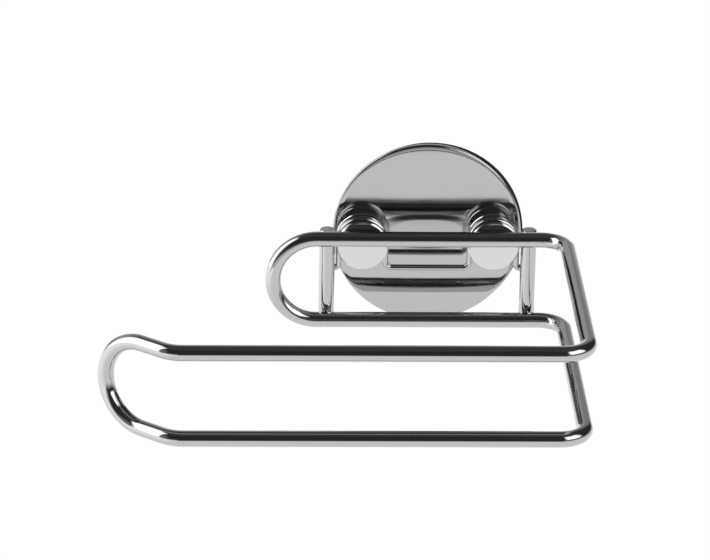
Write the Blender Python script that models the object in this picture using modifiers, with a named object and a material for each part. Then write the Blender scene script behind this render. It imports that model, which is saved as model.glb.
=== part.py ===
"""Wall-mounted toilet roll holder: a bent wire loop hung on two grooved posts of a round wall disc.

Metres, +Z up. The origin is on the wall face of the adhesive pad, at the centre of the disc.
+Y points into the wall, so the whole holder lies at negative Y.
"""
import math

import bpy

# Roll wire, the closed loop that carries the roll
WIRE_DIAMETER = 0.005
LOOP_HEIGHT = 0.0281           # between the centrelines of the upper and lower runs
LOOP_DEPTH = 0.0898            # from the rear runs to the front runs
LOOP_DROP = 0.0103             # loop's mid-height below the disc's centre
REAR_OVERHANG = 0.0034         # straight run left of the left upright, up to the closing half circle
SIDE_OVERHANG = 0.0114         # from the right upright to the runs that lead forward
CORNER_RADIUS = 0.0081
TIP_BEND_X = -0.0778           # where the front end starts to bend back to the wall
TIP_BEND_RADIUS = 0.0096
TIP_BEND_ANGLE = math.radians(38.0)
TIP_LENGTH = 0.0146            # along the bent end, from the bend's start to the half circle's centre

# Uprights, two rods behind the rear runs
UPRIGHT_DIAMETER = 0.005
UPRIGHT_CLEARANCE = 0.0012     # from the centre of the hanger wire's outer legs to an upright's side
UPRIGHT_TO_POST = 0.0005       # least gap between a post's head and an upright
UPRIGHT_TOP_OVERRUN = 0.0015   # above the centreline of the upper run
UPRIGHT_FOOT_OVERRUN = 0.0006  # below the centreline of the lower run
UPRIGHT_EDGE = 0.0004

# Hanger wire, which goes over the necks of both posts
HANGER_DIAMETER = 0.0020
HANGER_SETBACK = 0.00715       # behind the plane of the rear runs
HANGER_FOOT_DROP = 0.0090      # straight runs below the post axes
HANGER_HOOK_RADIUS = 0.0012
HANGER_MIDDLE_RADIUS = 0.0022

# Wall disc, a shallow drawn cap
DISC_DIAMETER = 0.0614
DISC_DEPTH = 0.0020
DISC_RIM_RADIUS = 0.0005
DISC_INNER_RIM_RADIUS = 0.0002
SHEET = 0.0007
REAR_RUN_TO_DISC = 0.0138      # from the plane of the rear runs to the face of the disc

# Posts, turned, with a groove for the hanger wire
POST_DIAMETER = 0.0165
POST_TO_RIM = 0.00065          # flat face left between a post's side and the rounding of the rim
POST_FACE_GAP = 0.0010         # between the post's front face and the back of the upper rear run
POST_CHAMFER = 0.0004
POST_GROOVE_DEPTH = 0.00195
POST_GROOVE_CLEARANCE = 0.0003 # between the hanger wire and each side of the groove
POST_SHOULDER = 0.0003         # rounding of the groove's edges
POST_LINE_WIDTH = 0.0004       # fine turned line near the foot of the post
POST_LINE_DEPTH = 0.0003
POST_LINE_SHARE = 0.53         # height of that line on the barrel, from the foot to the groove

# Backing plate inside the cap, and the screws that hold the posts
SCREW_DIAMETER = 0.0030
SCREW_HEAD_DIAMETER = 0.0048
SCREW_HEAD_HEIGHT = 0.0007
SCREW_GRIP = 0.0050            # length inside the post
SCREW_SLOT_WIDTH = 0.0008
SCREW_SLOT_DEPTH = 0.0004
SCREW_SLOT_LENGTH = 0.0034

# Adhesive pad
PAD_INSET = 0.0001             # the pad's edge inside the disc's, before its shift
PAD_THICKNESS = 0.0013
PAD_SHIFT = 0.0008             # the pad is stuck on a little to the right of the centre

# Clearances
SEAT_GAP = 0.0003              # between pieces that touch
CUT_OVERRUN = 0.0010           # how far a cutter runs past the face it cuts

# Counts
LOOP_SIDES = 6
HANGER_SIDES = 4
ARC_STEPS = 10
TURNED_STEPS = 64
POST_STEPS = 48
SMALL_STEPS = 24

# Places that follow from the sizes
WIRE_RADIUS = WIRE_DIAMETER / 2
UPRIGHT_RADIUS = UPRIGHT_DIAMETER / 2
HANGER_RADIUS = HANGER_DIAMETER / 2
POST_RADIUS = POST_DIAMETER / 2
NECK_RADIUS = POST_RADIUS - POST_GROOVE_DEPTH
DISC_RADIUS = DISC_DIAMETER / 2
DISC_BACK_Y = -(PAD_THICKNESS + SEAT_GAP)
DISC_FACE_Y = DISC_BACK_Y - DISC_DEPTH
REAR_RUN_Y = DISC_FACE_Y - REAR_RUN_TO_DISC
FRONT_RUN_Y = REAR_RUN_Y - LOOP_DEPTH
UPPER_RUN_Z = -LOOP_DROP + LOOP_HEIGHT / 2
LOWER_RUN_Z = -LOOP_DROP - LOOP_HEIGHT / 2
POST_X = DISC_RADIUS - DISC_RIM_RADIUS - POST_TO_RIM - POST_RADIUS
HANGER_Y = REAR_RUN_Y + HANGER_SETBACK
HANGER_LOOP_RADIUS = NECK_RADIUS + SEAT_GAP + HANGER_RADIUS
UPRIGHT_SIDE_X = POST_X + max(HANGER_LOOP_RADIUS + UPRIGHT_CLEARANCE, POST_RADIUS + UPRIGHT_TO_POST)
UPRIGHT_X = UPRIGHT_SIDE_X + UPRIGHT_RADIUS
UPRIGHT_Y = REAR_RUN_Y + WIRE_RADIUS + SEAT_GAP + UPRIGHT_RADIUS
REAR_ARC_X = -(UPRIGHT_X + REAR_OVERHANG)
SIDE_X = UPRIGHT_X + SIDE_OVERHANG
POST_FACE_Y = REAR_RUN_Y + WIRE_RADIUS + POST_FACE_GAP
POST_FOOT_Y = DISC_FACE_Y - SEAT_GAP
PLATE_RADIUS = DISC_RADIUS - SHEET - SEAT_GAP
PLATE_FRONT_Y = DISC_FACE_Y + SHEET + SEAT_GAP
PAD_RADIUS = DISC_RADIUS - PAD_INSET


def new_collection(name):
    """Return a new collection, linked to the scene."""
    collection = bpy.data.collections.new(name)
    bpy.context.scene.collection.children.link(collection)
    return collection


def material(name, colour, roughness, metallic):
    """Return a Principled BSDF material."""
    made = bpy.data.materials.new(name)
    made.use_nodes = True
    shader = made.node_tree.nodes["Principled BSDF"]
    shader.inputs["Base Color"].default_value = (*colour, 1.0)
    shader.inputs["Roughness"].default_value = roughness
    shader.inputs["Metallic"].default_value = metallic
    return made


def add_object(name, data, collection, surface):
    """Link a new object with one material."""
    made = bpy.data.objects.new(name, data)
    collection.objects.link(made)
    made.data.materials.append(surface)
    return made


def wire(name, points, diameter, closed, sides, collection, surface):
    """Return a round wire along the points, as a curve with filled ends."""
    curve = bpy.data.curves.new(name, "CURVE")
    curve.dimensions = "3D"
    curve.bevel_depth = diameter / 2
    curve.bevel_resolution = sides
    curve.use_fill_caps = True
    spline = curve.splines.new("POLY")
    spline.points.add(len(points) - 1)
    for point, place in zip(spline.points, points):
        point.co = (*place, 1.0)
    spline.use_cyclic_u = closed
    return add_object(name, curve, collection, surface)


def turned(name, profile, steps, collection, surface):
    """Return a turned piece. The profile is (radius, height) pairs, run down the outer side."""
    mesh = bpy.data.meshes.new(name)
    edges = [(index, index + 1) for index in range(len(profile) - 1)]
    mesh.from_pydata([(radius, 0.0, height) for radius, height in profile], edges, [])
    made = add_object(name, mesh, collection, surface)
    screw = made.modifiers.new("Turn", "SCREW")
    screw.axis = "Z"
    screw.steps = steps
    screw.render_steps = steps
    screw.use_merge_vertices = True
    screw.merge_threshold = 0.00001
    screw.use_smooth_shade = True
    return made


def face_the_room(made, x, y, z):
    """Turn a piece's local +Z to -Y, out of the wall, and put its local origin at a place."""
    made.rotation_euler = (math.radians(90.0), 0.0, 0.0)
    made.location = (x, y, z)


def cut(made, cutters):
    """Cut a piece with each of the cutters."""
    for number, cutter in enumerate(cutters):
        boolean = made.modifiers.new(f"Cut {number + 1}", "BOOLEAN")
        boolean.operation = "DIFFERENCE"
        boolean.solver = "EXACT"
        boolean.object = cutter


def hide_cutter(cutter):
    """Show a cutter as a wire frame only."""
    cutter.hide_render = True
    cutter.display_type = "WIRE"
    return cutter


def arc(centre, radius, start, end, steps):
    """Return points on an arc in a plane, with both ends."""
    points = []
    for step in range(steps + 1):
        angle = start + (end - start) * step / steps
        points.append((centre[0] + radius * math.cos(angle), centre[1] + radius * math.sin(angle)))
    return points


def rounded_edge(radius, height, rounding, steps=4):
    """Return the profile points of a rounded outer edge between a top face and a side."""
    return [
        (radius - rounding + rounding * math.sin(angle), height - rounding + rounding * math.cos(angle))
        for angle in [math.radians(90.0) * step / steps for step in range(steps + 1)]
    ]


def loop_plan():
    """Return the loop's path in plan, from the rear arc's start round the side to the tip bend."""
    corner = CORNER_RADIUS
    quarter = math.radians(90.0)
    rear_corner = (SIDE_X - corner, REAR_RUN_Y - corner)
    front_corner = (SIDE_X - corner, FRONT_RUN_Y + corner)
    path = [(REAR_ARC_X, REAR_RUN_Y)]
    path += arc(rear_corner, corner, quarter, 0.0, ARC_STEPS)
    path += arc(front_corner, corner, 0.0, -quarter, ARC_STEPS)
    return path


def tip_place(length):
    """Return the plan place at a length along the front end, measured from the bend's start."""
    bend_length = TIP_BEND_RADIUS * TIP_BEND_ANGLE
    angle = min(length, bend_length) / TIP_BEND_RADIUS
    x = TIP_BEND_X - TIP_BEND_RADIUS * math.sin(angle)
    y = FRONT_RUN_Y + TIP_BEND_RADIUS * (1.0 - math.cos(angle))
    straight = max(length - bend_length, 0.0)
    return (x - straight * math.cos(angle), y + straight * math.sin(angle))


def loop_path():
    """Return the closed centreline of the roll wire."""
    half = LOOP_HEIGHT / 2
    plan = loop_plan()
    bend_length = TIP_BEND_RADIUS * TIP_BEND_ANGLE
    plan += [tip_place(bend_length * step / ARC_STEPS) for step in range(ARC_STEPS + 1)]
    plan += [tip_place(TIP_LENGTH)]
    upper = [(x, y, UPPER_RUN_Z) for x, y in plan]
    lower = [(x, y, LOWER_RUN_Z) for x, y in reversed(plan)]
    half_turn = [math.pi * step / (2 * ARC_STEPS) for step in range(1, 2 * ARC_STEPS)]
    tip = [
        (*tip_place(TIP_LENGTH + half * math.sin(angle)), -LOOP_DROP + half * math.cos(angle))
        for angle in half_turn
    ]
    rear = [
        (REAR_ARC_X - half * math.sin(angle), REAR_RUN_Y, -LOOP_DROP - half * math.cos(angle))
        for angle in half_turn
    ]
    return upper + tip + lower + rear


def hanger_path():
    """Return the hanger wire's path: foot, loop over a post, middle run, loop, foot."""
    half = math.radians(180.0)
    quarter = half / 2
    foot_z = -HANGER_FOOT_DROP
    outer_leg_x = -POST_X - HANGER_LOOP_RADIUS
    inner_leg_x = -POST_X + HANGER_LOOP_RADIUS
    hook = (outer_leg_x - HANGER_HOOK_RADIUS, foot_z + HANGER_HOOK_RADIUS)
    middle = (inner_leg_x + HANGER_MIDDLE_RADIUS, foot_z + HANGER_MIDDLE_RADIUS)
    depth = max(HANGER_Y - HANGER_RADIUS - UPRIGHT_Y, 0.0)
    half_chord = math.sqrt(max(UPRIGHT_RADIUS ** 2 - depth ** 2, 0.0))
    end_x = -(UPRIGHT_X - half_chord - SEAT_GAP)
    end_angle = math.acos(max(min((end_x - hook[0]) / HANGER_HOOK_RADIUS, 1.0), 0.0))
    left = [(end_x, foot_z)] if end_x < hook[0] else []
    left += arc(hook, HANGER_HOOK_RADIUS, -end_angle, 0.0, ARC_STEPS)
    left += arc((-POST_X, 0.0), HANGER_LOOP_RADIUS, half, 0.0, 2 * ARC_STEPS)
    left += arc(middle, HANGER_MIDDLE_RADIUS, half, half + quarter, ARC_STEPS)
    right = [(-x, z) for x, z in reversed(left)]
    return [(x, HANGER_Y, z) for x, z in left + right]


def make_frame(collection, chrome):
    """Make the roll wire, the two uprights and the hanger wire."""
    wire("roll_wire", loop_path(), WIRE_DIAMETER, True, LOOP_SIDES, collection, chrome)
    wire("hanger_wire", hanger_path(), HANGER_DIAMETER, False, HANGER_SIDES, collection, chrome)
    top = UPPER_RUN_Z + UPRIGHT_TOP_OVERRUN
    foot = LOWER_RUN_Z - UPRIGHT_FOOT_OVERRUN
    length = top - foot
    profile = [(0.0, length)] + rounded_edge(UPRIGHT_RADIUS, length, UPRIGHT_EDGE)
    profile += [(radius, length - height) for radius, height in reversed(profile)]
    for side, name in ((-1, "upright_left"), (1, "upright_right")):
        rod = turned(name, profile, SMALL_STEPS, collection, chrome)
        rod.location = (side * UPRIGHT_X, UPRIGHT_Y, foot)


def move_to(made, collection):
    """Move a new primitive into a collection."""
    for owner in list(made.users_collection):
        owner.objects.unlink(made)
    collection.objects.link(made)


def screw_hole(name, x, radius, length, collection):
    """Return a round cutter along Y, from behind the plate to in front of the disc."""
    bpy.ops.mesh.primitive_cylinder_add(vertices=SMALL_STEPS, radius=radius, depth=length)
    cutter = bpy.context.active_object
    cutter.name = name
    move_to(cutter, collection)
    face_the_room(cutter, x, (DISC_FACE_Y + DISC_BACK_Y) / 2, 0.0)
    return hide_cutter(cutter)


def make_disc(collection, cutters, chrome, steel):
    """Make the cap and the backing plate, both pierced for the two post screws."""
    inner = DISC_RADIUS - SHEET
    profile = [(0.0, DISC_DEPTH)] + rounded_edge(DISC_RADIUS, DISC_DEPTH, DISC_RIM_RADIUS, 6)
    profile += [(DISC_RADIUS, 0.0), (inner, 0.0)]
    profile += reversed(rounded_edge(inner, DISC_DEPTH - SHEET, DISC_INNER_RIM_RADIUS))
    profile += [(0.0, DISC_DEPTH - SHEET)]
    disc = turned("wall_disc", profile, TURNED_STEPS, collection, chrome)
    face_the_room(disc, 0.0, DISC_BACK_Y, 0.0)

    thickness = DISC_BACK_Y - PLATE_FRONT_Y
    edge = min(DISC_INNER_RIM_RADIUS + SEAT_GAP, thickness / 2)
    profile = [(0.0, thickness), (PLATE_RADIUS - edge, thickness)]
    profile += [(PLATE_RADIUS, thickness - edge), (PLATE_RADIUS, 0.0), (0.0, 0.0)]
    plate = turned("backing_plate", profile, TURNED_STEPS, collection, steel)
    face_the_room(plate, 0.0, DISC_BACK_Y, 0.0)

    shank_radius = SCREW_DIAMETER / 2 + SEAT_GAP
    length = DISC_DEPTH + 2 * CUT_OVERRUN
    for side, word in ((-1, "left"), (1, "right")):
        x = side * POST_X
        cut(disc, [screw_hole(f"screw_hole_{word}", x, shank_radius, length, cutters)])
        cut(plate, [countersunk_hole(f"countersunk_hole_{word}", x, cutters, steel)])


def countersunk_hole(name, x, collection, surface):
    """Return a cutter for a screw's shank and head, with the seat gap all round.

    Its cone runs on past the back of the plate at the same slope.
    """
    top = SCREW_HEAD_DIAMETER / 2 + SEAT_GAP
    shank = SCREW_DIAMETER / 2 + SEAT_GAP
    reach = DISC_DEPTH + CUT_OVERRUN
    mouth = top + CUT_OVERRUN * (top - shank) / SCREW_HEAD_HEIGHT
    profile = [(0.0, reach), (shank, reach), (shank, SCREW_HEAD_HEIGHT)]
    profile += [(mouth, -CUT_OVERRUN), (0.0, -CUT_OVERRUN)]
    cutter = turned(name, profile, SMALL_STEPS, collection, surface)
    face_the_room(cutter, x, DISC_BACK_Y, 0.0)
    return hide_cutter(cutter)


def post_profile():
    """Return a post's profile, from the middle of its front face to the end of its screw bore."""
    length = POST_FOOT_Y - POST_FACE_Y
    groove_top = POST_FOOT_Y - HANGER_Y + HANGER_RADIUS + POST_GROOVE_CLEARANCE
    groove_foot = POST_FOOT_Y - HANGER_Y - HANGER_RADIUS - POST_GROOVE_CLEARANCE
    shoulder = POST_SHOULDER
    line = groove_foot * POST_LINE_SHARE
    bore = SCREW_DIAMETER / 2 + SEAT_GAP
    bore_depth = SCREW_GRIP + SEAT_GAP
    profile = [(0.0, length), (POST_RADIUS - POST_CHAMFER, length), (POST_RADIUS, length - POST_CHAMFER)]
    profile += [(POST_RADIUS, groove_top + shoulder), (POST_RADIUS - shoulder, groove_top)]
    profile += [(NECK_RADIUS, groove_top), (NECK_RADIUS, groove_foot)]
    profile += [(POST_RADIUS - shoulder, groove_foot), (POST_RADIUS, groove_foot - shoulder)]
    profile += [(POST_RADIUS, line + POST_LINE_WIDTH), (POST_RADIUS - POST_LINE_DEPTH, line)]
    profile += [(POST_RADIUS, line - POST_LINE_WIDTH), (POST_RADIUS, 0.0)]
    profile += [(bore, 0.0), (bore, bore_depth), (0.0, bore_depth)]
    return profile


def make_posts(collection, cutters, chrome, steel):
    """Make the two posts and the countersunk screws that hold them to the plate."""
    radius = SCREW_DIAMETER / 2
    head = SCREW_HEAD_DIAMETER / 2
    length = DISC_BACK_Y - POST_FOOT_Y + SCREW_GRIP
    screw_profile = [(0.0, length), (radius, length), (radius, SCREW_HEAD_HEIGHT)]
    screw_profile += [(head, 0.0), (0.0, 0.0)]
    for side, word in ((-1, "left"), (1, "right")):
        x = side * POST_X
        post = turned(f"post_{word}", post_profile(), POST_STEPS, collection, chrome)
        face_the_room(post, x, POST_FOOT_Y, 0.0)
        screw = turned(f"post_screw_{word}", screw_profile, SMALL_STEPS, collection, steel)
        face_the_room(screw, x, DISC_BACK_Y, 0.0)
        bpy.ops.mesh.primitive_cube_add(size=1.0)
        slot = bpy.context.active_object
        slot.name = f"screw_slot_{word}"
        slot.scale = (SCREW_SLOT_LENGTH, 2 * SCREW_SLOT_DEPTH, SCREW_SLOT_WIDTH)
        slot.location = (x, DISC_BACK_Y, 0.0)
        move_to(slot, cutters)
        cut(screw, [hide_cutter(slot)])


def make_pad(collection, foam):
    """Make the adhesive pad."""
    profile = [(0.0, PAD_THICKNESS), (PAD_RADIUS, PAD_THICKNESS), (PAD_RADIUS, 0.0), (0.0, 0.0)]
    pad = turned("adhesive_pad", profile, TURNED_STEPS, collection, foam)
    face_the_room(pad, PAD_SHIFT, 0.0, 0.0)


def main():
    """Build the whole holder."""
    for old in list(bpy.data.objects):
        bpy.data.objects.remove(old)
    parts = new_collection("toilet_roll_holder")
    cutters = new_collection("cutters")
    chrome = material("chrome", (0.56, 0.565, 0.57), 0.04, 1.0)
    steel = material("zinc_plated_steel", (0.55, 0.56, 0.58), 0.35, 1.0)
    foam = material("dark_foam", (0.03, 0.03, 0.03), 0.8, 0.0)
    make_frame(parts, chrome)
    make_disc(parts, cutters, chrome, steel)
    make_posts(parts, cutters, chrome, steel)
    make_pad(parts, foam)


main()
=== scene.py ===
"""Looks of a wall-mounted toilet roll holder: chrome wire, posts and wall disc in a pale studio.

Metres, +Z up, the frame's own axes. +Y points into the wall.
"""
import math

import bmesh
import bpy
from mathutils import Matrix, Vector


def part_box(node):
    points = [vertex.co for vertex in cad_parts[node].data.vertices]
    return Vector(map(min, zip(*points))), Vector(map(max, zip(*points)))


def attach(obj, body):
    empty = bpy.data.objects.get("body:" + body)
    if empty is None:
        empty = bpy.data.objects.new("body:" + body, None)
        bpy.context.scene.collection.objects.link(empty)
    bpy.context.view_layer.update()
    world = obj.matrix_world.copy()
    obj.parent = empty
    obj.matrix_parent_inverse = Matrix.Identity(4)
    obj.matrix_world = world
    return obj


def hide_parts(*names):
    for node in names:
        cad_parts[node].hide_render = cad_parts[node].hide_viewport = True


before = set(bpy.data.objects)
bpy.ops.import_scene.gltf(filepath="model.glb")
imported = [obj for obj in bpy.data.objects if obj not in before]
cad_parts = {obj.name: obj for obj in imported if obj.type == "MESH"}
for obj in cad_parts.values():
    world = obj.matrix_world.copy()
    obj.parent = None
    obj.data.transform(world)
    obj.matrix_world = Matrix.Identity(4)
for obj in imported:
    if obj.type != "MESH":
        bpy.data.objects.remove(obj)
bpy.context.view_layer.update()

# Camera, from the photograph's perspective
IMAGE_WIDTH = 710
SENSOR_WIDTH = 36.0
FOCAL_PIXELS = 3500.0
CAMERA_YAW = math.radians(2.109)
CAMERA_PITCH = math.radians(22.918)
CAMERA_ROLL = math.radians(-1.043)
CAMERA_FROM_LOOP = Vector((-0.061905, -1.039975, 0.439835))  # from the middle of the rear runs
CAMERA_CLIP = (0.01, 50.0)

# Directions and turns
FORWARD = (0.0, -1.0, 0.0)
UPWARD = (0.0, 0.0, 1.0)
SIDES = {"left": -1, "right": 1}
QUARTER_TURN = math.pi / 2
HALF_TURN = math.pi
FULL_TURN = 2 * math.pi

# Counts and spacing
WIRE_SIDES = 40
THIN_SIDES = 28
ROUND_SIDES = 256
WELD_SIDES = 32
WELD_STEPS = 20
ARC_STEPS = 28
FILLET_STEPS = 6
LIP_STEPS = 3
RIM_STEPS = 16
OUTER_FACE_RINGS = 28          # from the disc's rim to the swelling
OUTER_FACE_CROWDING = 1.8      # the power that crowds these rings towards the rim
SWELL_RINGS = 26               # from the swelling's border to its middle
SWELL_CROWDING = 1.3           # the power that crowds these rings towards the border
LONG_STEP = 0.006              # least length of the faces on the long straight runs
SHORT_STEP = 0.002             # the same on the short ones

# Roll wire: what its box doesn't give
REAR_ARC_X = -0.036
CORNER_RADIUS = 0.0081
TIP_BEND_X = -0.0778
TIP_BEND_RADIUS = 0.0096
TIP_BEND_ANGLE = math.radians(38.0)
TIP_BEND_LENGTH = TIP_BEND_RADIUS * TIP_BEND_ANGLE
TIP_LENGTH = 0.0146            # from the bend's start to the half turn

# Uprights and hanger wire
UPRIGHT_EDGE = 0.0005
UPRIGHT_RINGS = (0.8, 0.6, 0.4, 0.2)  # heights of the rings between its ends, as shares
HANGER_RADIUS = 0.0010
HANGER_LOOP_RADIUS = 0.0076    # round a post's neck
HANGER_HOOK_RADIUS = 0.0012    # between a loop and an upright
HANGER_HOOK_ANGLE = math.radians(82.8)
HANGER_MIDDLE_RADIUS = 0.0022  # between a loop and the middle run
END_DOME = 0.25                # height of the dome on a wire's end, in wire radii
END_DOME_RINGS = (0.92, 0.75, 0.4)  # radii of the dome's rings, in wire radii

# Weld nuggets, with their half sizes
WELD_GAP = 0.0003              # between the roll wire and an upright
RUN_WELD = (0.0011, 0.00045, 0.0011)
FOOT_WELD = (0.00055, 0.0012, 0.0012)
FOOT_WELD_SINK = 0.00005       # how deep its middle lies in the upright

# Wall disc and pad
RIM_RADIUS = 0.0005
INNER_RIM_RADIUS = 0.0002
LIP_EDGE = 0.0001
SHEET = 0.0007
DISC_CROWN = 0.0006            # how far the face's edge lies behind its middle
BORDER_WIDTH = 0.0017          # outermost part of the face, which falls away a little more
BORDER_DROP = 0.00013
DISC_LEAN = math.radians(0.85)  # the face mirrors as if the disc leaned back by this much
PAD_EDGE = 0.0003

# Pressed swelling of the disc between the posts, a superellipse
SWELL_HALF_WIDTH = 0.0160
SWELL_HALF_HEIGHT = 0.0060
SWELL_POWER = 2.8
SWELL_HEIGHT = 0.00022
SWELL_RISE = 0.0010            # its middle lies this far above the posts' axes
SWELL_CLIMB_SHARE = 0.35       # it climbs in this share of the way from its border to its middle
SWELL_ROUGHNESS = 0.12         # how much rougher the pressed metal is
SWELL_ROUGH_EDGE = (0.8, 1.2)  # where that fades out; the border is at 1

# Posts. Distances are measured forward from the post's foot
POST_CHAMFER = 0.00045
POST_ROUNDING = 0.00006        # of every corner
POST_NECK_RADIUS = 0.0063
POST_GROOVE = (0.00505, 0.00765)
POST_SHOULDER = 0.0003
POST_LINE = 0.0027
POST_LINE_HALF_WIDTH = 0.0004
POST_LINE_DEPTH = 0.0003

# Platings: colour, roughness, and the scale of the slow waviness
PLATINGS = {
    "chrome": ((0.53, 0.531, 0.533), 0.07, 110.0),
    "disc_chrome": ((0.505, 0.506, 0.508), 0.065, 240.0),
    "post_chrome": ((0.69, 0.695, 0.70), 0.10, 110.0),
}
WAVE_DETAIL = 1.0
WAVE_DEPTH = 0.000003
HAZE_SCALE = 60.0
HAZE_DETAIL = 3.0
HAZE_SHARE = 0.15              # the share by which the haze takes the roughness up and down
GRAIN_SCALE = 2600.0
GRAIN_DETAIL = 2.0
GRAIN_DEPTH = 0.0000001
GRAIN_STRENGTH = 0.5
NOISE_RANGE = (0.35, 0.65)     # most of a noise texture's values lie in it

# Zinc plating and foam
ZINC_COLOURS = ((0.48, 0.49, 0.52), (0.62, 0.63, 0.64))
ZINC_ROUGHNESS = (0.28, 0.45)
MOTTLE_SCALE = 900.0
MOTTLE_DETAIL = 4.0
FOAM_TONES = (0.018, 0.045)
FOAM_ROUGHNESS = 0.85
FOAM_CELL_SCALE = 2200.0
FOAM_CELL_DEPTH = 0.0001

# Floor and room
FLOOR_Z = -0.30
FLOOR_HALF = 1.4
FLOOR_SQUARES = 8
FLOOR_COLOUR = (0.8, 0.8, 0.8)
FLOOR_ROUGHNESS = 0.9
FLOOR_PAINTED_POOL_X = (-0.25, -0.80)  # painted pool of light: the floor's glow, seen in chrome and glass, rises more and more between these, towards the left softbox
FLOOR_PAINTED_POOL_STRENGTH = 1.4
ROOM_STRENGTH = 0.035
WHITE = 1.0                    # the strength that renders white

# Studio zones, as seen from the holder: strength, then the azimuths and the elevations in degrees
# between which each zone rises and falls. Azimuth 0 is the room in front, 90 the right.
HALF_CIRCLE = 180.0
ALL_ROUND = (-181.0, -180.0, 180.0, 181.0)
STUDIO_ZONES = {
    "horizon": (1.03, (10.0, 16.0, 344.0, 350.0), (-91.0, -90.0, -12.0, 6.0)),
    "horizon_in_front": (1.03, (-16.0, -10.0, 10.0, 16.0), (-91.0, -90.0, -14.0, -2.0)),
    "left_glow": (1.4, (-150.0, -115.0, -75.0, -45.0), (-60.0, -20.0, -4.0, 2.0)),
    "left_softbox": (2.4, (-128.0, -112.0, -74.0, -66.0), (-8.0, -2.0, 52.0, 62.0)),
    "right_softbox": (2.2, (18.0, 30.0, 72.0, 84.0), (11.0, 16.0, 47.0, 56.0)),
    "front_left_screen": (0.2, (-75.0, -65.0, -52.0, -40.0), (-5.0, 5.0, 25.0, 40.0)),
    "back_left_haze": (0.45, (-200.0, -180.0, -125.0, -110.0), (-5.0, 10.0, 25.0, 60.0)),
    "back_right_haze": (0.3, (140.0, 160.0, 180.0, 200.0), (0.0, 10.0, 25.0, 60.0)),
    "backdrop": (1.0, (150.0, 165.0, 195.0, 210.0), (-91.0, -90.0, 8.0, 16.0)),
    "ceiling": (0.065, ALL_ROUND, (50.0, 62.0, 90.0, 91.0)),
}


# Pieces and profiles

def new_mesh(name, mesh_data, surface):
    """Turn finished bmesh data into a smooth object with one material."""
    mesh = bpy.data.meshes.new(name)
    bmesh.ops.recalc_face_normals(mesh_data, faces=mesh_data.faces)
    mesh_data.to_mesh(mesh)
    mesh_data.free()
    mesh.shade_smooth()
    made = bpy.data.objects.new(name, mesh)
    bpy.context.collection.objects.link(made)
    made.data.materials.append(surface)
    return made


def place_piece(piece, body, slot, *nodes):
    """Ride a piece on its body and hide the nodes that it stands for. The slot is not used."""
    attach(piece, body)
    if nodes:
        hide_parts(*nodes)


def ring_of(mesh_data, place, across, up, radius, sides):
    """Return a ring of new points round a place."""
    ring = []
    for side in range(sides):
        angle = FULL_TURN * side / sides
        outward = across * math.cos(angle) + up * math.sin(angle)
        ring.append(mesh_data.verts.new(place + outward * radius))
    return ring


def bridge(mesh_data, ring, other):
    """Join two rings of as many points with faces."""
    count = len(ring)
    for index in range(count):
        following = (index + 1) % count
        mesh_data.faces.new((ring[index], ring[following], other[following], other[index]))


def join_rings(mesh_data, rings):
    """Join each ring to the next with faces. A ring may be a single point."""
    for ring, other in zip(rings, rings[1:]):
        if len(ring) == len(other):
            bridge(mesh_data, ring, other)
        else:
            point, wide = (ring[0], other) if len(ring) == 1 else (other[0], ring)
            for vertex, following in zip(wide, wide[1:] + wide[:1]):
                mesh_data.faces.new((vertex, following, point))


def arc(centre, radius, start, end, steps=ARC_STEPS):
    """Return points on an arc in a plane, with both ends."""
    return [
        (centre[0] + radius * math.cos(angle), centre[1] + radius * math.sin(angle))
        for angle in [start + (end - start) * step / steps for step in range(steps + 1)]
    ]


def spaced(start, end, step=LONG_STEP):
    """Return the places between the ends of a straight run at which its rings go."""
    start = Vector(start)
    end = Vector(end)
    count = max(int((end - start).length / step), 1)
    return [tuple(start.lerp(end, index / count)) for index in range(1, count)]


def fillet(corner, before, after, radius, steps=FILLET_STEPS):
    """Return the points of a rounded corner of a profile."""
    corner = Vector(corner)
    to_before = (Vector(before) - corner).normalized()
    to_after = (Vector(after) - corner).normalized()
    half = to_before.angle(to_after) / 2
    reach = radius / math.tan(half)
    centre = corner + (to_before + to_after).normalized() * (radius / math.sin(half))
    first = corner + to_before * reach - centre
    last = corner + to_after * reach - centre
    points = []
    for step in range(steps + 1):
        share = step / steps
        point = (first * (1.0 - share) + last * share).normalized() * radius + centre
        points.append((point.x, point.y))
    return points


def rounded(profile, radius):
    """Return a profile with every inner corner rounded by the same small radius."""
    points = [profile[0]]
    for before, corner, after in zip(profile, profile[1:], profile[2:]):
        points += fillet(corner, before, after, radius)
    return points + [profile[-1]]


def cylinder_profile(radius, length, edge, ring_shares=()):
    """Return the profile of a cylinder with two rounded edges, from its far end to its foot."""
    profile = [(0.0, length)]
    profile += fillet((radius, length), (0.0, length), (radius, 0.0), edge)
    profile += [(radius, length * share) for share in ring_shares]
    profile += fillet((radius, 0.0), (radius, length), (0.0, 0.0), edge)
    return profile + [(0.0, 0.0)]


def turned_rings(mesh_data, profile, foot, axis, sides):
    """Return the rings of a profile of (radius, distance from the foot along the axis) pairs."""
    across = Vector((1, 0, 0))
    up = Vector(axis).cross(across)
    rings = []
    for radius, distance in profile:
        place = Vector([start + way * distance for start, way in zip(foot, axis)])
        if radius == 0.0:
            rings.append([mesh_data.verts.new(place)])
        else:
            rings.append(ring_of(mesh_data, place, across, up, radius, sides))
    return rings


def lathe(name, profile, foot, axis, sides, surface):
    """Return a turned piece."""
    mesh_data = bmesh.new()
    join_rings(mesh_data, turned_rings(mesh_data, profile, foot, axis, sides))
    return new_mesh(name, mesh_data, surface)


def close_end(mesh_data, ring, place, outward, axes, radius):
    """Close the end of a wire with a low dome."""
    for share in END_DOME_RINGS:
        height = radius * END_DOME * math.sqrt(1.0 - share * share)
        inner = ring_of(mesh_data, place + outward * height, *axes, radius * share, len(ring))
        bridge(mesh_data, ring, inner)
        ring = inner
    mesh_data.faces.new(ring)


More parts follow.
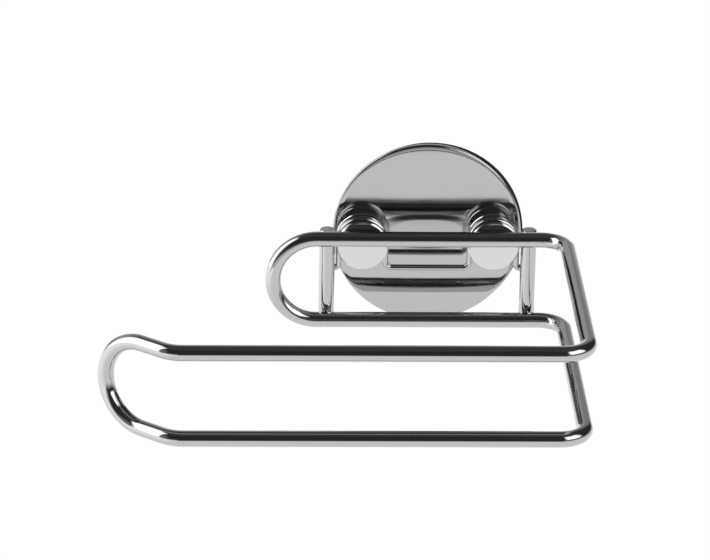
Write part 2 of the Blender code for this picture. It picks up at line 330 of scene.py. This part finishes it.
def tube(name, points, radius, closed, sides, surface):
    """Return a round wire along the points, as a closed loop or with low domes on its ends."""
    mesh_data = bmesh.new()
    path = [Vector(point) for point in points]
    if closed:
        behind, ahead = path[-1:] + path[:-1], path[1:] + path[:1]
    else:
        behind, ahead = path[:1] + path[:-1], path[1:] + path[-1:]
    tangents = [(after - before).normalized() for before, after in zip(behind, ahead)]
    across = tangents[0].orthogonal().normalized()
    axes = []
    for tangent in tangents:
        across = (across - tangent * across.dot(tangent)).normalized()
        axes.append((across, tangent.cross(across)))
    rings = [ring_of(mesh_data, place, *pair, radius, sides) for place, pair in zip(path, axes)]
    join_rings(mesh_data, rings)
    if closed:
        first_across, first_up = axes[0]
        last_across = axes[-1][0] - tangents[0] * axes[-1][0].dot(tangents[0])
        twist = math.atan2(last_across.dot(first_up), last_across.dot(first_across))
        offset = round(twist * sides / FULL_TURN) % sides
        bridge(mesh_data, rings[-1], rings[0][offset:] + rings[0][:offset])
    else:
        close_end(mesh_data, rings[0], path[0], -tangents[0], axes[0], radius)
        close_end(mesh_data, rings[-1], path[-1], tangents[-1], axes[-1], radius)
    return new_mesh(name, mesh_data, surface)


# Materials

def new_material(name):
    """Return a node material with its nodes, its links and its Principled shader."""
    made = bpy.data.materials.new(name)
    made.use_nodes = True
    nodes, links = made.node_tree.nodes, made.node_tree.links
    return made, nodes, links, nodes["Principled BSDF"]


def noise(nodes, links, coordinate, scale, detail):
    """Return the value of a noise texture in object space."""
    texture = nodes.new("ShaderNodeTexNoise")
    texture.inputs["Scale"].default_value = scale
    texture.inputs["Detail"].default_value = detail
    links.new(coordinate.outputs["Object"], texture.inputs["Vector"])
    return texture.outputs["Fac"]


def ramp(nodes, links, value, edges, results, name="ramp"):
    """Map a value between two edges to a value between two results, and hold it beyond them."""
    node = nodes.new("ShaderNodeMapRange")
    node.name = name
    node.inputs["From Min"].default_value, node.inputs["From Max"].default_value = edges
    node.inputs["To Min"].default_value, node.inputs["To Max"].default_value = results
    links.new(value, node.inputs["Value"])
    return node.outputs["Result"]


def bump(nodes, links, height, depth, strength=1.0, normal=None):
    """Return a normal with relief, on top of another normal where one is given."""
    node = nodes.new("ShaderNodeBump")
    node.inputs["Strength"].default_value = strength
    node.inputs["Distance"].default_value = depth
    links.new(height, node.inputs["Height"])
    if normal is not None:
        links.new(normal, node.inputs["Normal"])
    return node.outputs["Normal"]


def maths(nodes, links, operation, *values):
    """Return the result of a maths node whose inputs are sockets or numbers."""
    node = nodes.new("ShaderNodeMath")
    node.operation = operation
    for socket, value in zip(node.inputs, values):
        if isinstance(value, float):
            socket.default_value = value
        else:
            links.new(value, socket)
    return node.outputs["Value"]


def chrome_material(name):
    """Return polished plating: a slow waviness, faint haze in patches and polishing grain."""
    colour, roughness, wave_scale = PLATINGS[name]
    made, nodes, links, shader = new_material(name)
    shader.inputs["Base Color"].default_value = (*colour, 1.0)
    shader.inputs["Metallic"].default_value = 1.0
    coordinate = nodes.new("ShaderNodeTexCoord")
    haze = noise(nodes, links, coordinate, HAZE_SCALE, HAZE_DETAIL)
    hazy = (roughness * (1.0 - HAZE_SHARE), roughness * (1.0 + HAZE_SHARE))
    links.new(ramp(nodes, links, haze, NOISE_RANGE, hazy, "haze"), shader.inputs["Roughness"])
    waves = noise(nodes, links, coordinate, wave_scale, WAVE_DETAIL)
    grain = noise(nodes, links, coordinate, GRAIN_SCALE, GRAIN_DETAIL)
    wavy = bump(nodes, links, waves, WAVE_DEPTH)
    grainy = bump(nodes, links, grain, GRAIN_DEPTH, GRAIN_STRENGTH, wavy)
    links.new(grainy, shader.inputs["Normal"])
    return made


def disc_material():
    """Return the cap's plating, a little rougher where the swelling was pressed."""
    made = chrome_material("disc_chrome")
    nodes, links = made.node_tree.nodes, made.node_tree.links
    place = nodes.new("ShaderNodeSeparateXYZ")
    links.new(nodes.new("ShaderNodeTexCoord").outputs["Object"], place.inputs["Vector"])
    powers = []
    for axis, middle, half in (("X", 0.0, SWELL_HALF_WIDTH), ("Z", SWELL_RISE, SWELL_HALF_HEIGHT)):
        share = maths(nodes, links, "SUBTRACT", place.outputs[axis], middle)
        share = maths(nodes, links, "DIVIDE", share, half)
        share = maths(nodes, links, "ABSOLUTE", share)
        powers.append(maths(nodes, links, "POWER", share, SWELL_POWER))
    reach = maths(nodes, links, "ADD", *powers)
    pressed = ramp(nodes, links, reach, SWELL_ROUGH_EDGE, (SWELL_ROUGHNESS, 0.0))
    roughness = maths(nodes, links, "ADD", nodes["haze"].outputs["Result"], pressed)
    links.new(roughness, nodes["Principled BSDF"].inputs["Roughness"])
    return made


def steel_material():
    """Return zinc-plated steel with a fine mottle."""
    made, nodes, links, shader = new_material("zinc_plated_steel")
    shader.inputs["Metallic"].default_value = 1.0
    coordinate = nodes.new("ShaderNodeTexCoord")
    mottle = noise(nodes, links, coordinate, MOTTLE_SCALE, MOTTLE_DETAIL)
    colour = nodes.new("ShaderNodeMix")
    colour.data_type = "RGBA"
    for socket, zinc in zip("AB", ZINC_COLOURS):
        colour.inputs[socket].default_value = (*zinc, 1.0)
    links.new(mottle, colour.inputs["Factor"])
    links.new(colour.outputs["Result"], shader.inputs["Base Color"])
    roughness = ramp(nodes, links, mottle, NOISE_RANGE, ZINC_ROUGHNESS)
    links.new(roughness, shader.inputs["Roughness"])
    return made


def foam_material():
    """Return dark closed-cell foam."""
    made, nodes, links, shader = new_material("dark_foam")
    coordinate = nodes.new("ShaderNodeTexCoord")
    texture = nodes.new("ShaderNodeTexVoronoi")
    texture.inputs["Scale"].default_value = FOAM_CELL_SCALE
    links.new(coordinate.outputs["Object"], texture.inputs["Vector"])
    cells = texture.outputs["Distance"]
    links.new(ramp(nodes, links, cells, (0.0, 1.0), FOAM_TONES), shader.inputs["Base Color"])
    shader.inputs["Roughness"].default_value = FOAM_ROUGHNESS
    links.new(bump(nodes, links, cells, FOAM_CELL_DEPTH), shader.inputs["Normal"])
    return made


CHROME = chrome_material("chrome")
DISC_CHROME = disc_material()
POST_CHROME = chrome_material("post_chrome")
STEEL = steel_material()
FOAM = foam_material()


# Wire frame

def tip_place(length, bend_y):
    """Return the plan place at a length along the front end, measured from the bend's start."""
    angle = min(length, TIP_BEND_LENGTH) / TIP_BEND_RADIUS
    straight = max(length - TIP_BEND_LENGTH, 0.0)
    x = TIP_BEND_X - TIP_BEND_RADIUS * math.sin(angle) - straight * math.cos(angle)
    y = bend_y + TIP_BEND_RADIUS * (1.0 - math.cos(angle)) + straight * math.sin(angle)
    return (x, y)


def run_plan(side_x, rear_y, front_y):
    """Return the plan of one of the loop's two runs, from its rear end to its tip."""
    rear_corner = (side_x - CORNER_RADIUS, rear_y - CORNER_RADIUS)
    front_corner = (side_x - CORNER_RADIUS, front_y + CORNER_RADIUS)
    rear_bend = arc(rear_corner, CORNER_RADIUS, QUARTER_TURN, 0.0)
    front_bend = arc(front_corner, CORNER_RADIUS, 0.0, -QUARTER_TURN)
    plan = [(REAR_ARC_X, rear_y)] + spaced((REAR_ARC_X, rear_y), rear_bend[0])
    plan += rear_bend + spaced(rear_bend[-1], front_bend[0]) + front_bend
    plan += spaced(front_bend[-1], (TIP_BEND_X, front_y))
    for step in range(ARC_STEPS + 1):
        plan.append(tip_place(TIP_BEND_LENGTH * step / ARC_STEPS, front_y))
    end = tip_place(TIP_LENGTH, front_y)
    return plan + spaced(plan[-1], end, SHORT_STEP) + [end]


def make_roll_wire():
    """Make the closed loop. Return its wire's radius and its rear runs' place and heights."""
    low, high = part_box("roll_wire")
    upright_low, upright_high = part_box("upright_left")
    radius = (upright_high.x - upright_low.x) / 2
    rear_y, front_y = high.y - radius, low.y + radius
    upper_z, lower_z = high.z - radius, low.z + radius
    middle_z, half = (upper_z + lower_z) / 2, (upper_z - lower_z) / 2
    plan = run_plan(high.x - radius, rear_y, front_y)
    end_angles = [HALF_TURN * step / (2 * ARC_STEPS) for step in range(1, 2 * ARC_STEPS)]
    path = [(x, y, upper_z) for x, y in plan]
    for angle in end_angles:
        tip_x, tip_y = tip_place(TIP_LENGTH + half * math.sin(angle), front_y)
        path.append((tip_x, tip_y, middle_z + half * math.cos(angle)))
    path += [(x, y, lower_z) for x, y in reversed(plan)]
    for angle in end_angles:
        rear_x = REAR_ARC_X - half * math.sin(angle)
        path.append((rear_x, rear_y, middle_z - half * math.cos(angle)))
    wire = tube("roll_wire_polished", path, radius, True, WIRE_SIDES, CHROME)
    place_piece(wire, "frame", "chrome", "roll_wire")
    return radius, rear_y, (upper_z, lower_z)


def make_upright(word):
    """Make one upright with softly rounded ends."""
    low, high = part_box(f"upright_{word}")
    radius = (high.x - low.x) / 2
    foot = ((low.x + high.x) / 2, (low.y + high.y) / 2, low.z)
    profile = cylinder_profile(radius, high.z - low.z, UPRIGHT_EDGE, UPRIGHT_RINGS)
    rod = lathe(f"upright_{word}_polished", profile, foot, UPWARD, WIRE_SIDES, CHROME)
    place_piece(rod, "frame", "chrome", f"upright_{word}")


def make_hanger_wire():
    """Make the thin wire that loops over both posts. Return its depth and its feet's height."""
    low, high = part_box("hanger_wire")
    post_low, post_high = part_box("post_right")
    post_x = (post_low.x + post_high.x) / 2
    y = (low.y + high.y) / 2
    foot_z = low.z + HANGER_RADIUS
    hook_x = -post_x - HANGER_LOOP_RADIUS - HANGER_HOOK_RADIUS
    hook_centre = (hook_x, foot_z + HANGER_HOOK_RADIUS)
    bend_x = -post_x + HANGER_LOOP_RADIUS + HANGER_MIDDLE_RADIUS
    bend_centre = (bend_x, foot_z + HANGER_MIDDLE_RADIUS)
    bend_end = HALF_TURN + QUARTER_TURN
    hook = arc(hook_centre, HANGER_HOOK_RADIUS, -HANGER_HOOK_ANGLE, 0.0, ARC_STEPS // 2)
    loop = arc((-post_x, 0.0), HANGER_LOOP_RADIUS, HALF_TURN, 0.0, 2 * ARC_STEPS)
    bend = arc(bend_centre, HANGER_MIDDLE_RADIUS, HALF_TURN, bend_end, ARC_STEPS // 2)
    left = hook + spaced(hook[-1], loop[0], SHORT_STEP) + loop
    left += spaced(loop[-1], bend[0], SHORT_STEP) + bend
    right = [(-x, z) for x, z in reversed(left)]
    middle_run = spaced(left[-1], right[0], SHORT_STEP)
    path = [(x, y, z) for x, z in left + middle_run + right]
    wire = tube("hanger_wire_polished", path, HANGER_RADIUS, False, THIN_SIDES, CHROME)
    place_piece(wire, "frame", "chrome", "hanger_wire")
    return y, foot_z


def nugget(mesh_data, place, size):
    """Add a rounded weld nugget, an ellipsoid of the given half sizes."""
    matrix = Matrix.Translation(place) @ Matrix.Diagonal((*size, 1.0))
    bmesh.ops.create_uvsphere(
        mesh_data, u_segments=WELD_SIDES, v_segments=WELD_STEPS, radius=1.0, matrix=matrix
    )


def make_welds(radius, rear_y, run_heights, hanger_y, hanger_z):
    """Make the weld nuggets where uprights, roll wire and hanger wire meet."""
    run_weld_y = rear_y + radius + WELD_GAP / 2
    for word, side in SIDES.items():
        low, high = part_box(f"upright_{word}")
        x = (low.x + high.x) / 2
        mesh_data = bmesh.new()
        for z in run_heights:
            nugget(mesh_data, (x, run_weld_y, z), RUN_WELD)
        foot_x = x - side * (radius - FOOT_WELD_SINK)
        nugget(mesh_data, (foot_x, hanger_y, hanger_z), FOOT_WELD)
        weld = new_mesh(f"welds_{word}", mesh_data, CHROME)
        place_piece(weld, "frame", "chrome")


# Wall base

def swell_reach(angle):
    """Return the distance from the swelling's middle to its border at an angle."""
    across = abs(math.cos(angle)) / SWELL_HALF_WIDTH
    up = abs(math.sin(angle)) / SWELL_HALF_HEIGHT
    return (across ** SWELL_POWER + up ** SWELL_POWER) ** (-1.0 / SWELL_POWER)


def swell_height(inset):
    """Return the swelling's height, a share of the way from its border to its middle."""
    climb = min(inset / SWELL_CLIMB_SHARE, 1.0)
    return SWELL_HEIGHT * (0.5 - 0.5 * math.cos(HALF_TURN * climb))


def face_sag(distance, radius):
    """Return how far the disc's face lies behind its middle, at a distance from the centre."""
    border = max(distance - (radius - BORDER_WIDTH), 0.0) / BORDER_WIDTH
    return DISC_CROWN * (distance / radius) ** 2 + BORDER_DROP * border ** 2


def face_ring(mesh_data, face_y, radius, share, inset):
    """Return a ring of the disc's face.

    It lies a share of the way from the rim to the swelling's border, and from there an inset,
    also a share, of the way to the swelling's middle.
    """
    flat_radius = radius - RIM_RADIUS
    ring = []
    for step in range(ROUND_SIDES):
        angle = FULL_TURN * step / ROUND_SIDES
        border = swell_reach(angle)
        distance = (flat_radius + (border - flat_radius) * share) * (1.0 - inset)
        x, z = distance * math.cos(angle), distance * math.sin(angle) + SWELL_RISE * share
        y = face_y + face_sag(math.hypot(x, z), radius) - swell_height(inset)
        ring.append(mesh_data.verts.new((x, y, z)))
    return ring


def cap_profile(radius, depth, edge_depth):
    """Return the cap's profile: the back of its face, its lip and its rim, up to the face."""
    inner = radius - SHEET
    inside = edge_depth - SHEET
    profile = [(0.0, inside), (inner - SHEET, inside)]
    profile += fillet((inner, inside), (0.0, inside), (inner, 0.0), INNER_RIM_RADIUS)
    profile += fillet((inner, 0.0), (inner, depth), (radius, 0.0), LIP_EDGE, LIP_STEPS)
    profile += fillet((radius, 0.0), (inner, 0.0), (radius, depth), LIP_EDGE, LIP_STEPS)
    rim_corner = (radius, edge_depth)
    rim = fillet(rim_corner, (radius, 0.0), (0.0, edge_depth), RIM_RADIUS, RIM_STEPS)
    return profile + rim[:-1]


def make_disc():
    """Make the cap: a thin rim, a faintly crowned face and the swelling between the posts."""
    low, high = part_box("wall_disc")
    radius = (high.x - low.x) / 2
    back_y, face_y = high.y, low.y
    depth = back_y - face_y
    profile = cap_profile(radius, depth, depth - face_sag(radius, radius))
    mesh_data = bmesh.new()
    rings = turned_rings(mesh_data, profile, (0.0, back_y, 0.0), FORWARD, ROUND_SIDES)
    for number in range(OUTER_FACE_RINGS):
        share = (number / OUTER_FACE_RINGS) ** OUTER_FACE_CROWDING
        rings.append(face_ring(mesh_data, face_y, radius, share, 0.0))
    for number in range(SWELL_RINGS):
        inset = (number / SWELL_RINGS) ** SWELL_CROWDING
        rings.append(face_ring(mesh_data, face_y, radius, 1.0, inset))
    middle_y = face_y + face_sag(SWELL_RISE, radius) - swell_height(1.0)
    rings.append([mesh_data.verts.new((0.0, middle_y, SWELL_RISE))])
    join_rings(mesh_data, rings)
    disc = new_mesh("wall_disc_polished", mesh_data, DISC_CHROME)
    lean = Matrix.Rotation(-DISC_LEAN, 3, "X")
    normals = [lean @ vertex.normal for vertex in disc.data.vertices]
    disc.data.normals_split_custom_set_from_vertices(normals)
    place_piece(disc, "wall_base", "chrome", "wall_disc")


def post_profile(radius, length, seat):
    """Return a post's profile, from the middle of its head to its seat on the disc."""
    groove_foot, groove_top = POST_GROOVE
    return [
        (0.0, length),
        (radius - POST_CHAMFER, length),
        (radius, length - POST_CHAMFER),
        (radius, groove_top + POST_SHOULDER),
        (radius - POST_SHOULDER, groove_top),
        (POST_NECK_RADIUS, groove_top),
        (POST_NECK_RADIUS, groove_foot),
        (radius - POST_SHOULDER, groove_foot),
        (radius, groove_foot - POST_SHOULDER),
        (radius, POST_LINE + POST_LINE_HALF_WIDTH),
        (radius - POST_LINE_DEPTH, POST_LINE),
        (radius, POST_LINE - POST_LINE_HALF_WIDTH),
        (radius, seat),
        (0.0, seat),
    ]


def make_post(word):
    """Make one grooved post, which goes back until it meets the crowned face all round."""
    low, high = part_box(f"post_{word}")
    radius = (high.x - low.x) / 2
    x, foot_y = (low.x + high.x) / 2, high.y
    disc_low, disc_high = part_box("wall_disc")
    seat = foot_y - disc_low.y - face_sag(abs(x) + radius, (disc_high.x - disc_low.x) / 2)
    profile = rounded(post_profile(radius, high.y - low.y, seat), POST_ROUNDING)
    foot = (x, foot_y, 0.0)
    post = lathe(f"post_{word}_polished", profile, foot, FORWARD, ROUND_SIDES, POST_CHROME)
    place_piece(post, "wall_base", "chrome", f"post_{word}")


def make_pad():
    """Make the adhesive pad with soft edges."""
    low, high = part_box("adhesive_pad")
    profile = cylinder_profile((high.x - low.x) / 2, high.y - low.y, PAD_EDGE)
    foot = ((low.x + high.x) / 2, high.y, 0.0)
    pad = lathe("adhesive_pad_foam", profile, foot, FORWARD, ROUND_SIDES, FOAM)
    place_piece(pad, "wall_base", "foam", "adhesive_pad")


def dress_hidden_nodes():
    """Give the plate and the screws inside the cap their zinc plating."""
    for node in ("backing_plate", "post_screw_left", "post_screw_right"):
        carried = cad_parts[node]
        for slot in carried.material_slots:
            slot.material = STEEL


# Studio

def white_to_camera(nodes, links, path, strength):
    """Return white for the camera's own rays, and a strength for all others."""
    seen = nodes.new("ShaderNodeMix")
    seen.data_type = "FLOAT"
    links.new(path.outputs["Is Camera Ray"], seen.inputs["Factor"])
    links.new(strength, seen.inputs["A"])
    seen.inputs["B"].default_value = WHITE
    return seen.outputs["Result"]


def make_floor():
    """Make the plain pale floor. It reads white to the camera, and pale in chrome and glass, where
    a painted pool of light brightens its glow towards the left.
    """
    surface, nodes, links, shader = new_material("pale_floor")
    shader.inputs["Base Color"].default_value = (*FLOOR_COLOUR, 1.0)
    shader.inputs["Roughness"].default_value = FLOOR_ROUGHNESS
    path = nodes.new("ShaderNodeLightPath")
    glowing = path.outputs["Is Camera Ray"]
    for kind in ("Is Glossy Ray", "Is Transmission Ray"):
        glowing = maths(nodes, links, "MAXIMUM", glowing, path.outputs[kind])
    place = nodes.new("ShaderNodeSeparateXYZ")
    links.new(nodes.new("ShaderNodeNewGeometry").outputs["Position"], place.inputs["Vector"])
    # Painted pool of light: the glow that chrome and glass see grows brighter towards the left
    painted_pool = ramp(nodes, links, place.outputs["X"], FLOOR_PAINTED_POOL_X, (WHITE, FLOOR_PAINTED_POOL_STRENGTH))
    glow = nodes.new("ShaderNodeEmission")
    links.new(white_to_camera(nodes, links, path, painted_pool), glow.inputs["Strength"])
    mix = nodes.new("ShaderNodeMixShader")
    links.new(glowing, mix.inputs["Fac"])
    links.new(shader.outputs["BSDF"], mix.inputs[1])
    links.new(glow.outputs["Emission"], mix.inputs[2])
    links.new(mix.outputs["Shader"], nodes["Material Output"].inputs["Surface"])
    mesh_data = bmesh.new()
    bmesh.ops.create_grid(
        mesh_data, x_segments=FLOOR_SQUARES, y_segments=FLOOR_SQUARES, size=FLOOR_HALF
    )
    floor = new_mesh("floor", mesh_data, surface)
    floor.location = (0.0, 0.0, FLOOR_Z)


def studio_directions(nodes, links):
    """Return the azimuth and the elevation, in degrees, of the direction that a ray looks in."""
    coordinate = nodes.new("ShaderNodeTexCoord")
    direction = nodes.new("ShaderNodeSeparateXYZ")
    links.new(coordinate.outputs["Generated"], direction.inputs["Vector"])
    to_front = maths(nodes, links, "MULTIPLY", direction.outputs["Y"], -1.0)
    azimuth = maths(nodes, links, "ARCTAN2", direction.outputs["X"], to_front)
    elevation = maths(nodes, links, "ARCSINE", direction.outputs["Z"])
    return maths(nodes, links, "DEGREES", azimuth), maths(nodes, links, "DEGREES", elevation)


def studio_zone(nodes, links, azimuth, elevation, strength, azimuths, elevations):
    """Return one zone's strength in the direction that a ray looks in."""
    middle = (azimuths[1] + azimuths[2]) / 2
    turned = maths(nodes, links, "WRAP", azimuth, middle + HALF_CIRCLE, middle - HALF_CIRCLE)
    bands = []
    for value, edges in ((turned, azimuths), (elevation, elevations)):
        rise = ramp(nodes, links, value, edges[:2], (0.0, 1.0))
        fall = ramp(nodes, links, value, edges[2:], (1.0, 0.0))
        bands.append(maths(nodes, links, "MINIMUM", rise, fall))
    shape = maths(nodes, links, "MULTIPLY", *bands)
    return maths(nodes, links, "MULTIPLY", shape, strength)


def make_world():
    """Make the studio that the chrome mirrors: its zones, each over the dark room.

    The camera's own rays see plain white.
    """
    world = bpy.data.worlds.new("studio")
    bpy.context.scene.world = world
    world.use_nodes = True
    nodes, links = world.node_tree.nodes, world.node_tree.links
    azimuth, elevation = studio_directions(nodes, links)
    studio = ROOM_STRENGTH
    for zone in STUDIO_ZONES.values():
        strength = studio_zone(nodes, links, azimuth, elevation, *zone)
        studio = maths(nodes, links, "MAXIMUM", studio, strength)
    path = nodes.new("ShaderNodeLightPath")
    seen = white_to_camera(nodes, links, path, studio)
    links.new(seen, nodes["Background"].inputs["Color"])


def make_camera(rear_y, run_heights):
    """Put the camera where the photograph was taken from, measured from the loop."""
    data = bpy.data.cameras.new("camera")
    data.sensor_width = SENSOR_WIDTH
    data.lens = FOCAL_PIXELS / IMAGE_WIDTH * SENSOR_WIDTH
    data.clip_start, data.clip_end = CAMERA_CLIP
    forward = Vector((
        math.sin(CAMERA_YAW) * math.cos(CAMERA_PITCH),
        math.cos(CAMERA_YAW) * math.cos(CAMERA_PITCH),
        -math.sin(CAMERA_PITCH),
    ))
    right = Vector((math.cos(CAMERA_YAW), -math.sin(CAMERA_YAW), 0.0))
    down = forward.cross(right)
    rolled_right = right * math.cos(CAMERA_ROLL) + down * math.sin(CAMERA_ROLL)
    rolled_down = down * math.cos(CAMERA_ROLL) - right * math.sin(CAMERA_ROLL)
    turn = Matrix((rolled_right, -rolled_down, -forward)).transposed().to_4x4()
    camera = bpy.data.objects.new("camera", data)
    loop_middle = Vector((0.0, rear_y, sum(run_heights) / 2))
    camera.matrix_world = Matrix.Translation(loop_middle + CAMERA_FROM_LOOP) @ turn
    bpy.context.collection.objects.link(camera)
    bpy.context.scene.camera = camera


def main():
    """Dress the frame and light it."""
    radius, rear_y, run_heights = make_roll_wire()
    for word in SIDES:
        make_upright(word)
        make_post(word)
    hanger_y, hanger_z = make_hanger_wire()
    make_welds(radius, rear_y, run_heights, hanger_y, hanger_z)
    make_disc()
    make_pad()
    dress_hidden_nodes()
    make_floor()
    make_world()
    make_camera(rear_y, run_heights)
    bpy.context.scene.view_settings.view_transform = "Standard"


main()
